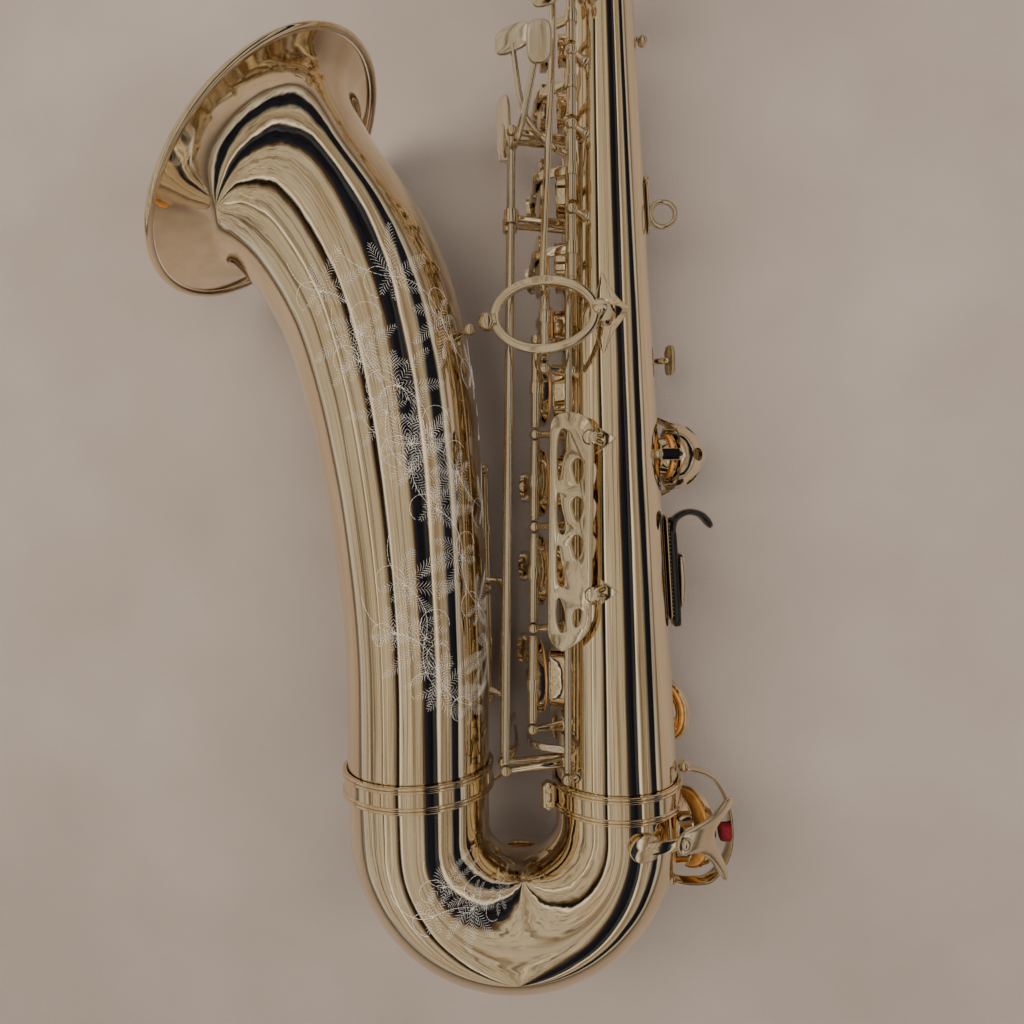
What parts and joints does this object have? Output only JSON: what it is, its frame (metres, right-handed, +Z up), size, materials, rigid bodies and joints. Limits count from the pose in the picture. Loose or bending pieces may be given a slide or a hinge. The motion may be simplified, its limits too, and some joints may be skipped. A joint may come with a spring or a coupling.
{
  "type": "saxophone",
  "caption": "Tenor saxophone with bell, bow, swivelling neck, sliding mouthpiece and sprung keys that close leather pads over tone holes, lying on its side.",
  "frame": {"origin": "centre of the bounding box on the floor it lies on", "axes": "+Y up the body tube from the bow towards the neck, +X from the bell towards the back of the body, +Z up off the floor, out of the horn's left side"},
  "size_m": [0.4508, 0.7616, 0.1542],
  "materials": {
    "lacquered_brass": "polished champagne-gold lacquer with engraved flourishes on the bell and bow",
    "pad_leather": "amber tanned leather",
    "felt": "dark red pressed felt",
    "ebonite": "glossy black",
    "cane": "bare cane",
    "cork": "matt natural cork"
  },
  "bodies": {
    "horn": {"body_tube": "lacquered_brass", "bow": "lacquered_brass", "bell": "lacquered_brass", "body_ferrule": "lacquered_brass", "bell_ferrule": "lacquered_brass", "bell_rim": "lacquered_brass", "brace_ring": "lacquered_brass", "clothes_guard": "lacquered_brass", "strap_ring": "lacquered_brass", "thumb_hook_plate": "lacquered_brass", "thumb_rest": "ebonite", "low_c_guard": "lacquered_brass", "low_c_felt": "felt", "low_b_guard": "lacquered_brass", "low_bb_guard": "lacquered_brass", "low_eb_guard": "lacquered_brass", "side_key_guard": "lacquered_brass", "alt_fs_guard": "lacquered_brass", "neck_receiver": "lacquered_brass"},
    "key_d": {"key_d": "lacquered_brass", "key_d_pad": "pad_leather"},
    "key_e": {"key_e": "lacquered_brass", "key_e_pad": "pad_leather"},
    "key_f": {"key_f": "lacquered_brass", "key_f_pad": "pad_leather"},
    "key_fs": {"key_fs": "lacquered_brass"},
    "key_g": {"key_g": "lacquered_brass"},
    "key_a": {"key_a": "lacquered_brass", "key_a_pad": "pad_leather"},
    "key_b": {"key_b": "lacquered_brass"},
    "key_c": {"key_c": "lacquered_brass"},
    "key_g_sharp": {"key_g_sharp": "lacquered_brass"},
    "low_b_rod": {"low_b_rod": "lacquered_brass"},
    "low_bb_rod": {"low_bb_rod": "lacquered_brass"},
    "low_cs_rod": {"low_cs_rod": "lacquered_brass"},
    "key_low_b": {"key_low_b": "lacquered_brass", "key_low_b_pad": "pad_leather"},
    "key_low_bb": {"key_low_bb": "lacquered_brass", "key_low_bb_pad": "pad_leather"},
    "key_low_c": {"key_low_c": "lacquered_brass", "key_low_c_pad": "pad_leather"},
    "key_low_eb": {"key_low_eb": "lacquered_brass"},
    "key_low_c_sharp": {"key_low_c_sharp": "lacquered_brass"},
    "key_alt_fs": {"key_alt_fs": "lacquered_brass"},
    "key_side_bb": {"key_side_bb": "lacquered_brass"},
    "key_side_c": {"key_side_c": "lacquered_brass"},
    "key_side_e": {"key_side_e": "lacquered_brass"},
    "key_palm_d": {"key_palm_d": "lacquered_brass"},
    "key_palm_eb": {"key_palm_eb": "lacquered_brass"},
    "key_palm_f": {"key_palm_f": "lacquered_brass"},
    "octave_lever": {"octave_lever": "lacquered_brass"},
    "neck_octave_key": {"neck_octave_key": "lacquered_brass"},
    "thumb_hook": {"thumb_hook": "ebonite"},
    "thumb_hook_screw": {"thumb_hook_screw": "lacquered_brass"},
    "receiver_clamp_screw": {"receiver_clamp_screw": "lacquered_brass"},
    "neck": {"neck": "lacquered_brass", "neck_cork": "cork"},
    "mouthpiece": {"mouthpiece": "ebonite", "reed": "cane", "ligature": "lacquered_brass"}
  },
  "joints": [
    {"name": "key_d_hinge", "type": "hinge", "parent": "horn", "child": "key_d", "pos_m": [-0.04361, -0.24251, 0.07979], "axis": [0.0301, 0.9991, -0.0296], "range_deg": [-11, 0], "stiffness_Nm_per_rad": 0.091, "springref_deg": 20.05},
    {"name": "key_e_hinge", "type": "hinge", "parent": "horn", "child": "key_e", "pos_m": [-0.04212, -0.19303, 0.07833], "axis": [0.0301, 0.9991, -0.0296], "range_deg": [-11, 0], "stiffness_Nm_per_rad": 0.083, "springref_deg": 20.05},
    {"name": "key_f_hinge", "type": "hinge", "parent": "horn", "child": "key_f", "pos_m": [-0.04061, -0.14304, 0.07685], "axis": [0.0301, 0.9991, -0.0296], "range_deg": [-11, 0], "stiffness_Nm_per_rad": 0.071, "springref_deg": 20.05},
    {"name": "key_fs_hinge", "type": "hinge", "parent": "horn", "child": "key_fs", "pos_m": [-0.03925, -0.09756, 0.0755], "axis": [0.0301, 0.9991, -0.0296], "range_deg": [-11, 0], "stiffness_Nm_per_rad": 0.038, "springref_deg": 20.05},
    {"name": "key_g_hinge", "type": "hinge", "parent": "horn", "child": "key_g", "pos_m": [-0.01914, -0.02942, 0.08504], "axis": [0.0162, 0.9989, -0.0437], "range_deg": [-9, 0], "stiffness_Nm_per_rad": 0.095, "springref_deg": 20.05},
    {"name": "key_a_hinge", "type": "hinge", "parent": "horn", "child": "key_a", "pos_m": [-0.01853, 0.00856, 0.08338], "axis": [0.0162, 0.9989, -0.0437], "range_deg": [-9, 0], "stiffness_Nm_per_rad": 0.086, "springref_deg": 20.05},
    {"name": "key_b_hinge", "type": "hinge", "parent": "horn", "child": "key_b", "pos_m": [-0.01786, 0.04954, 0.08158], "axis": [0.0162, 0.9989, -0.0437], "range_deg": [-9, 0], "stiffness_Nm_per_rad": 0.061, "springref_deg": 20.05},
    {"name": "key_c_hinge", "type": "hinge", "parent": "horn", "child": "key_c", "pos_m": [-0.01728, 0.08553, 0.08001], "axis": [0.0162, 0.9989, -0.0437], "range_deg": [-9, 0], "stiffness_Nm_per_rad": 0.028, "springref_deg": 20.05},
    {"name": "key_g_sharp_hinge", "type": "hinge", "parent": "horn", "child": "key_g_sharp", "pos_m": [-0.03331, -0.06646, 0.08199], "axis": [0.0258, 0.999, -0.036], "range_deg": [0, 9], "stiffness_Nm_per_rad": 0.012, "springref_deg": -20.05},
    {"name": "low_b_rod_hinge", "type": "hinge", "parent": "horn", "child": "low_b_rod", "pos_m": [-0.05607, -0.2603, 0.08771], "axis": [0.0298, 0.9991, -0.0301], "range_deg": [0, 7], "stiffness_Nm_per_rad": 0.012, "springref_deg": -20.05},
    {"name": "low_bb_rod_hinge", "type": "hinge", "parent": "horn", "child": "low_bb_rod", "pos_m": [-0.05896, -0.26047, 0.07554], "axis": [0.0325, 0.9992, -0.0236], "range_deg": [-7, 0], "stiffness_Nm_per_rad": 0.016, "springref_deg": 20.05},
    {"name": "low_cs_rod_hinge", "type": "hinge", "parent": "horn", "child": "low_cs_rod", "pos_m": [-0.02647, -0.26432, 0.08626], "axis": [0.022, 0.999, -0.0397], "range_deg": [-6, 0], "stiffness_Nm_per_rad": 0.034, "springref_deg": 20.05},
    {"name": "key_low_b_hinge", "type": "hinge", "parent": "horn", "child": "key_low_b", "pos_m": [-0.07472, -0.24332, 0.02181], "axis": [0, 0.9999, -0.014], "range_deg": [0, 9], "stiffness_Nm_per_rad": 0.095, "springref_deg": -20.05},
    {"name": "key_low_bb_hinge", "type": "hinge", "parent": "horn", "child": "key_low_bb", "pos_m": [-0.07472, -0.17983, 0.02093], "axis": [0, 0.9999, -0.014], "range_deg": [0, 9], "stiffness_Nm_per_rad": 0.071, "springref_deg": -20.05},
    {"name": "key_low_c_hinge", "type": "hinge", "parent": "horn", "child": "key_low_c", "pos_m": [0.00826, -0.32142, 0.01526], "axis": [-0.0085, 0.9998, 0.0188], "range_deg": [-6.5, 0], "stiffness_Nm_per_rad": 0.047, "springref_deg": 20.05},
    {"name": "key_low_eb_hinge", "type": "hinge", "parent": "horn", "child": "key_low_eb", "pos_m": [-0.00366, -0.26741, 0.01587], "axis": [0.0003, 0.9998, 0.0199], "range_deg": [0, 11], "stiffness_Nm_per_rad": 0.05, "springref_deg": -20.05},
    {"name": "key_low_c_sharp_hinge", "type": "hinge", "parent": "horn", "child": "key_low_c_sharp", "pos_m": [-0.0886, -0.34928, 0.02512], "axis": [0, 0.9999, -0.014], "range_deg": [0, 9], "stiffness_Nm_per_rad": 0.096, "springref_deg": -20.05},
    {"name": "key_alt_fs_hinge", "type": "hinge", "parent": "horn", "child": "key_alt_fs", "pos_m": [0.01313, -0.12726, 0.02567], "axis": [-0.0156, 0.9997, 0.0161], "range_deg": [0, 7], "stiffness_Nm_per_rad": 0.027, "springref_deg": -20.05},
    {"name": "key_side_bb_hinge", "type": "hinge", "parent": "horn", "child": "key_side_bb", "pos_m": [0.01054, -0.08121, 0.02882], "axis": [-0.0151, 0.9998, 0.0164], "range_deg": [-10, 0], "stiffness_Nm_per_rad": 0.03, "springref_deg": 20.05},
    {"name": "key_side_c_hinge", "type": "hinge", "parent": "horn", "child": "key_side_c", "pos_m": [-0.02627, -0.08711, 0.03556], "axis": [0.025, 0.9996, 0.0089], "range_deg": [0, 10], "stiffness_Nm_per_rad": 0.037, "springref_deg": -20.05},
    {"name": "key_side_e_hinge", "type": "hinge", "parent": "horn", "child": "key_side_e", "pos_m": [0.01737, -0.06914, 0.03384], "axis": [-0.0229, 0.9997, 0.011], "range_deg": [-10, 0], "stiffness_Nm_per_rad": 0.03, "springref_deg": 20.05},
    {"name": "key_palm_d_hinge", "type": "hinge", "parent": "horn", "child": "key_palm_d", "pos_m": [-0.00898, 0.11552, 0.07951], "axis": [0.0073, 0.9989, -0.047], "range_deg": [-12, 0], "stiffness_Nm_per_rad": 0.012, "springref_deg": 20.05},
    {"name": "key_palm_eb_hinge", "type": "hinge", "parent": "horn", "child": "key_palm_eb", "pos_m": [-0.00876, 0.1455, 0.07809], "axis": [0.0073, 0.9989, -0.047], "range_deg": [-12, 0], "stiffness_Nm_per_rad": 0.012, "springref_deg": 20.05},
    {"name": "key_palm_f_hinge", "type": "hinge", "parent": "horn", "child": "key_palm_f", "pos_m": [-0.00855, 0.17399, 0.07675], "axis": [0.0073, 0.9989, -0.047], "range_deg": [-12, 0], "stiffness_Nm_per_rad": 0.012, "springref_deg": 20.05},
    {"name": "octave_lever_hinge", "type": "hinge", "parent": "horn", "child": "octave_lever", "pos_m": [0.01839, 0.18555, 0.04553], "axis": [0.1305, 0.0138, 0.9913], "range_deg": [-5, 0], "stiffness_Nm_per_rad": 0.012, "springref_deg": 20.05},
    {"name": "neck_octave_key_hinge", "type": "hinge", "parent": "neck", "child": "neck_octave_key", "pos_m": [0.0406, 0.37248, 0.03878], "axis": [0.1305, 0.0138, 0.9913], "range_deg": [0, 4.5], "stiffness_Nm_per_rad": 0.079, "springref_deg": -20.05},
    {"name": "thumb_hook_slide", "type": "slide", "parent": "horn", "child": "thumb_hook", "axis": [-0.0336, 0.9994, -0.0095], "range_m": [-0.004, 0.004]},
    {"name": "thumb_hook_screw_turn", "type": "hinge", "parent": "horn", "child": "thumb_hook_screw", "pos_m": [0.02766, -0.17637, 0.0538], "axis": [0.9914, -0.0018, -0.1305], "range_deg": [-90, 90]},
    {"name": "clamp_screw_turn", "type": "hinge", "parent": "horn", "child": "receiver_clamp_screw", "pos_m": [-0.0241, 0.23869, 0.05482], "axis": [0.1305, 0.0138, 0.9913], "range_deg": [-40, 40]},
    {"name": "neck_swivel", "type": "hinge", "parent": "horn", "child": "neck", "pos_m": [-0.00328, 0.25365, 0.05187], "axis": [0, 0.9999, -0.014], "range_deg": [-30, 30]},
    {"name": "mouthpiece_slide", "type": "slide", "parent": "neck", "child": "mouthpiece", "axis": [0.9193, -0.3763, -0.1158], "range_m": [-0.003, 0.008]}
  ],
  "couplings": [
    {"joint": "key_low_b_hinge", "follows": "low_b_rod_hinge", "ratio": 1.2857},
    {"joint": "key_low_bb_hinge", "follows": "low_bb_rod_hinge", "ratio": -1.2857},
    {"joint": "key_low_c_sharp_hinge", "follows": "low_cs_rod_hinge", "ratio": -1.5},
    {"joint": "key_fs_hinge", "follows": "key_f_hinge", "ratio": 1},
    {"joint": "neck_octave_key_hinge", "follows": "octave_lever_hinge", "ratio": -0.9}
  ]
}
